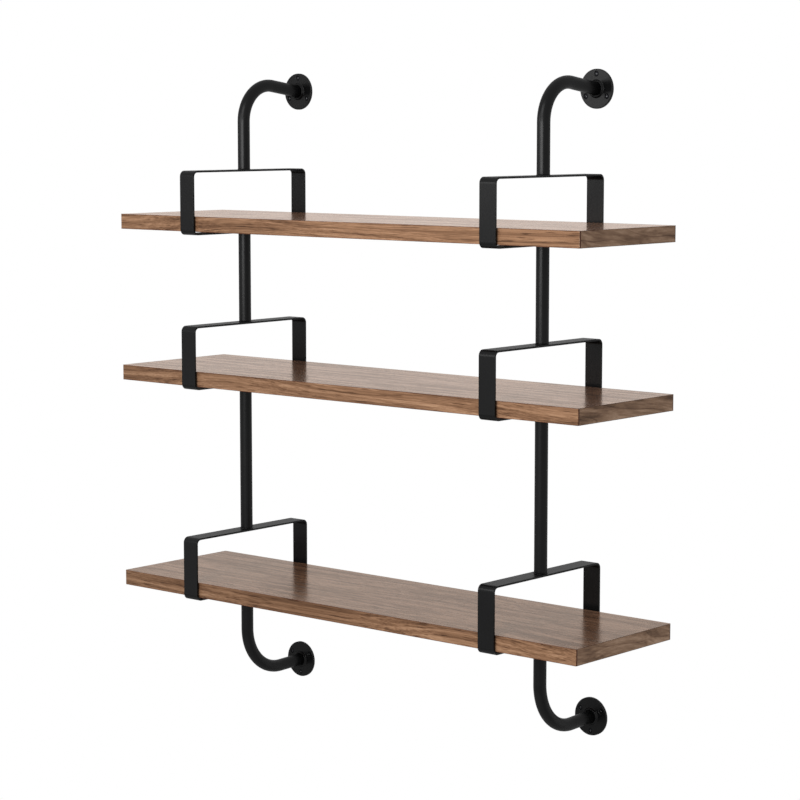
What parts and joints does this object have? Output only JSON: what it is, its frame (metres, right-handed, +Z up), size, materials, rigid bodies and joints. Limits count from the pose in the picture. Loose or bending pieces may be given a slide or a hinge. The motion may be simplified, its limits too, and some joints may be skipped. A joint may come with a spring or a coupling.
{
  "type": "pipe shelving unit",
  "caption": "Wall-hung shelving unit: black pipe uprights bent back to round wall flanges, with flat-bar hoops that carry walnut-veneered shelves.",
  "frame": {"origin": "on the wall, midway between the four flanges", "axes": "+X along the shelves to the right as seen from the front, +Y back into the wall, +Z up"},
  "size_m": [1, 0.282, 1.095],
  "materials": {
    "black_steel": "satin black powder coat",
    "walnut_face": "satin lacquered walnut veneer",
    "walnut_edge": "satin lacquered walnut edge band, grain along the shelf",
    "walnut_end": "satin lacquered walnut edge band, grain along the end",
    "board_core": "raw fibreboard",
    "spacer": "matt black",
    "screw_steel": "black oxide"
  },
  "bodies": {
    "root": {"left_top_bent_pipe": "black_steel", "left_upper_pipe": "black_steel", "left_lower_pipe": "black_steel", "left_bottom_bent_pipe": "black_steel", "left_top_flange": "black_steel", "left_bottom_flange": "black_steel", "left_top_hoop": "black_steel", "left_middle_hoop": "black_steel", "left_bottom_hoop": "black_steel", "right_top_bent_pipe": "black_steel", "right_upper_pipe": "black_steel", "right_lower_pipe": "black_steel", "right_bottom_bent_pipe": "black_steel", "right_top_flange": "black_steel", "right_bottom_flange": "black_steel", "right_top_hoop": "black_steel", "right_middle_hoop": "black_steel", "right_bottom_hoop": "black_steel", "top_shelf_core": "board_core", "top_shelf_front_band": "walnut_edge", "top_shelf_back_band": "walnut_edge", "top_shelf_left_band": "walnut_end", "top_shelf_right_band": "walnut_end", "top_shelf_top_veneer": "walnut_face", "top_shelf_bottom_veneer": "walnut_face", "middle_shelf_core": "board_core", "middle_shelf_front_band": "walnut_edge", "middle_shelf_back_band": "walnut_edge", "middle_shelf_left_band": "walnut_end", "middle_shelf_right_band": "walnut_end", "middle_shelf_top_veneer": "walnut_face", "middle_shelf_bottom_veneer": "walnut_face", "bottom_shelf_core": "board_core", "bottom_shelf_front_band": "walnut_edge", "bottom_shelf_back_band": "walnut_edge", "bottom_shelf_left_band": "walnut_end", "bottom_shelf_right_band": "walnut_end", "bottom_shelf_top_veneer": "walnut_face", "bottom_shelf_bottom_veneer": "walnut_face", "shelf_spacers": "spacer", "shelf_screws": "screw_steel"}
  },
  "joints": []
}
